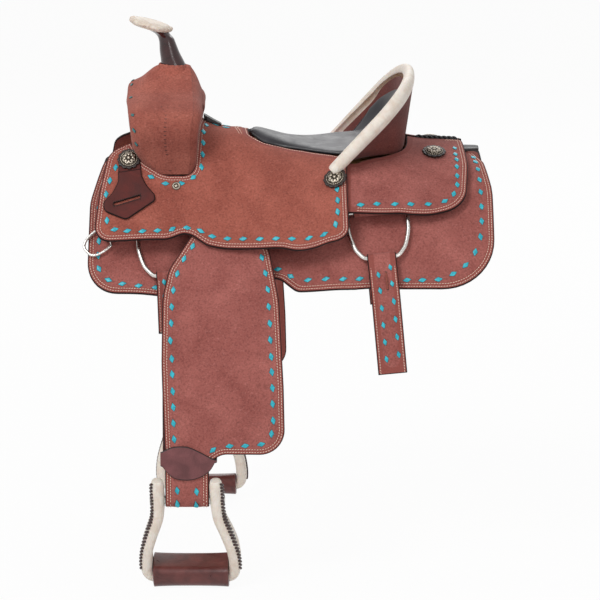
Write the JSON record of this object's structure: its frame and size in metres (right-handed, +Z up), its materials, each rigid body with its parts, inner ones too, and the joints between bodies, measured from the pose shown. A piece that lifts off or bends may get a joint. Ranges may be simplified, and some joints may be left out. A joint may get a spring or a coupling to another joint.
{
  "type": "western trail saddle",
  "caption": "Roughout leather western trail saddle on a wooden tree, with horn, padded seat, rolled cantle, skirts, rigging dees, fenders and stirrups that swing.",
  "frame": {"origin": "centre line of the saddle, where the skirts' top surface meets the horse's spine line, midway between fork and cantle", "axes": "+Z up, +X towards the horse's tail, -Y the near (left) side of the rider"},
  "size_m": [0.6984, 0.642, 0.9377],
  "materials": {
    "roughout": "matte, napped flesh side",
    "dark_leather": "smooth, oiled",
    "black_leather": "smooth",
    "seat_cover": "smooth padded seat, satin",
    "rawhide": "varnished rawhide",
    "tree_wood": "bare wood",
    "fleece": "woolskin lining",
    "nickel_steel": "nickel plated",
    "antique_silver": "antique silver"
  },
  "bodies": {
    "saddle": {"skirt_left": "roughout", "fleece_left": "fleece", "bar_left": "tree_wood", "rear_jockey_left": "roughout", "rear_rigging_strap_left": "roughout", "front_rigging_strap_left": "roughout", "breast_dee_tab_left": "dark_leather", "front_concho_left": "antique_silver", "middle_concho_left": "antique_silver", "rear_concho_left": "antique_silver", "string_ferrule_left": "antique_silver", "skirt_right": "roughout", "fleece_right": "fleece", "bar_right": "tree_wood", "rear_jockey_right": "roughout", "rear_rigging_strap_right": "roughout", "front_rigging_strap_right": "roughout", "breast_dee_tab_right": "dark_leather", "front_concho_right": "antique_silver", "middle_concho_right": "antique_silver", "rear_concho_right": "antique_silver", "string_ferrule_right": "antique_silver", "seat_leather": "roughout", "handhold_strip": "black_leather", "seat_pad": "seat_cover", "ground_seat": "tree_wood", "cantle_board": "tree_wood", "cantle_back": "roughout", "cantle_liner": "roughout", "cantle_binding": "rawhide", "fork": "tree_wood", "fork_cover": "roughout", "horn": "dark_leather", "horn_cap": "rawhide", "horn_cap_binding": "rawhide", "rear_lacing": "black_leather", "rear_tie": "black_leather"},
    "front_dee_body_left": {"front_dee_left": "nickel_steel"},
    "rear_dee_body_left": {"rear_dee_left": "nickel_steel"},
    "breast_dee_body_left": {"breast_dee_left": "nickel_steel"},
    "front_billet_body_left": {"front_billet_left": "roughout"},
    "rear_billet_body_left": {"rear_billet_left": "roughout"},
    "fender_assembly_left": {"fender_left": "roughout", "stirrup_leather_left": "dark_leather", "hobble_strap_left": "dark_leather"},
    "stirrup_assembly_left": {"stirrup_frame_left": "rawhide", "stirrup_tread_left": "dark_leather", "stirrup_bolt_left": "nickel_steel"},
    "front_dee_body_right": {"front_dee_right": "nickel_steel"},
    "rear_dee_body_right": {"rear_dee_right": "nickel_steel"},
    "breast_dee_body_right": {"breast_dee_right": "nickel_steel"},
    "front_billet_body_right": {"front_billet_right": "roughout"},
    "rear_billet_body_right": {"rear_billet_right": "roughout"},
    "fender_assembly_right": {"fender_right": "roughout", "stirrup_leather_right": "dark_leather", "hobble_strap_right": "dark_leather"},
    "stirrup_assembly_right": {"stirrup_frame_right": "rawhide", "stirrup_tread_right": "dark_leather", "stirrup_bolt_right": "nickel_steel"},
    "latigo_keeper_body": {"latigo_keeper": "dark_leather"}
  },
  "joints": [
    {"name": "front_dee_hinge_left", "type": "hinge", "parent": "saddle", "child": "front_dee_body_left", "pos_m": [-0.206, -0.14342, -0.10758], "axis": [-0.9986, -0.0295, -0.0432], "range_deg": [0, 1]},
    {"name": "front_billet_hinge_left", "type": "hinge", "parent": "front_dee_body_left", "child": "front_billet_body_left", "pos_m": [-0.20139, -0.19298, -0.18015], "axis": [-0.9986, -0.0295, -0.0432], "range_deg": [0, 7]},
    {"name": "rear_dee_hinge_left", "type": "hinge", "parent": "saddle", "child": "rear_dee_body_left", "pos_m": [0.14718, -0.18011, -0.07181], "axis": [-0.9955, -0.0202, -0.0922], "range_deg": [0, 15]},
    {"name": "rear_billet_hinge_left", "type": "hinge", "parent": "rear_dee_body_left", "child": "rear_billet_body_left", "pos_m": [0.15467, -0.22935, -0.14192], "axis": [-0.9955, -0.0202, -0.0922], "range_deg": [0, 60]},
    {"name": "breast_dee_hinge_left", "type": "hinge", "parent": "saddle", "child": "breast_dee_body_left", "pos_m": [-0.31455, -0.14275, -0.12294], "axis": [-0.6667, 0.4654, 0.5822], "range_deg": [0, 40]},
    {"name": "fender_swing_left", "type": "hinge", "parent": "saddle", "child": "fender_assembly_left", "pos_m": [-0.15, -0.131, -0.056], "axis": [0, -0.8434, 0.5373], "range_deg": [-22, 16]},
    {"name": "stirrup_swing_left", "type": "hinge", "parent": "fender_assembly_left", "child": "stirrup_assembly_left", "pos_m": [-0.1718, -0.30255, -0.54294], "axis": [1, 0, 0], "range_deg": [-60, 60]},
    {"name": "front_dee_hinge_right", "type": "hinge", "parent": "saddle", "child": "front_dee_body_right", "pos_m": [-0.206, 0.14342, -0.10758], "axis": [0.9986, -0.0295, 0.0432], "range_deg": [0, 1]},
    {"name": "front_billet_hinge_right", "type": "hinge", "parent": "front_dee_body_right", "child": "front_billet_body_right", "pos_m": [-0.20139, 0.19298, -0.18015], "axis": [0.9986, -0.0295, 0.0432], "range_deg": [0, 7]},
    {"name": "rear_dee_hinge_right", "type": "hinge", "parent": "saddle", "child": "rear_dee_body_right", "pos_m": [0.14718, 0.18011, -0.07181], "axis": [0.9955, -0.0202, 0.0922], "range_deg": [0, 15]},
    {"name": "rear_billet_hinge_right", "type": "hinge", "parent": "rear_dee_body_right", "child": "rear_billet_body_right", "pos_m": [0.15467, 0.22935, -0.14192], "axis": [0.9955, -0.0202, 0.0922], "range_deg": [0, 60]},
    {"name": "breast_dee_hinge_right", "type": "hinge", "parent": "saddle", "child": "breast_dee_body_right", "pos_m": [-0.31455, 0.14275, -0.12294], "axis": [0.6667, 0.4654, -0.5822], "range_deg": [0, 40]},
    {"name": "fender_swing_right", "type": "hinge", "parent": "saddle", "child": "fender_assembly_right", "pos_m": [-0.15, 0.131, -0.056], "axis": [0, 0.8434, 0.5373], "range_deg": [-16, 22]},
    {"name": "stirrup_swing_right", "type": "hinge", "parent": "fender_assembly_right", "child": "stirrup_assembly_right", "pos_m": [-0.1718, 0.30255, -0.54294], "axis": [1, 0, 0], "range_deg": [-60, 60]},
    {"name": "latigo_keeper_flap", "type": "hinge", "parent": "saddle", "child": "latigo_keeper_body", "pos_m": [-0.274, -0.11776, -0.01463], "axis": [-0.9891, -0.0298, -0.144], "range_deg": [0, 35]}
  ]
}
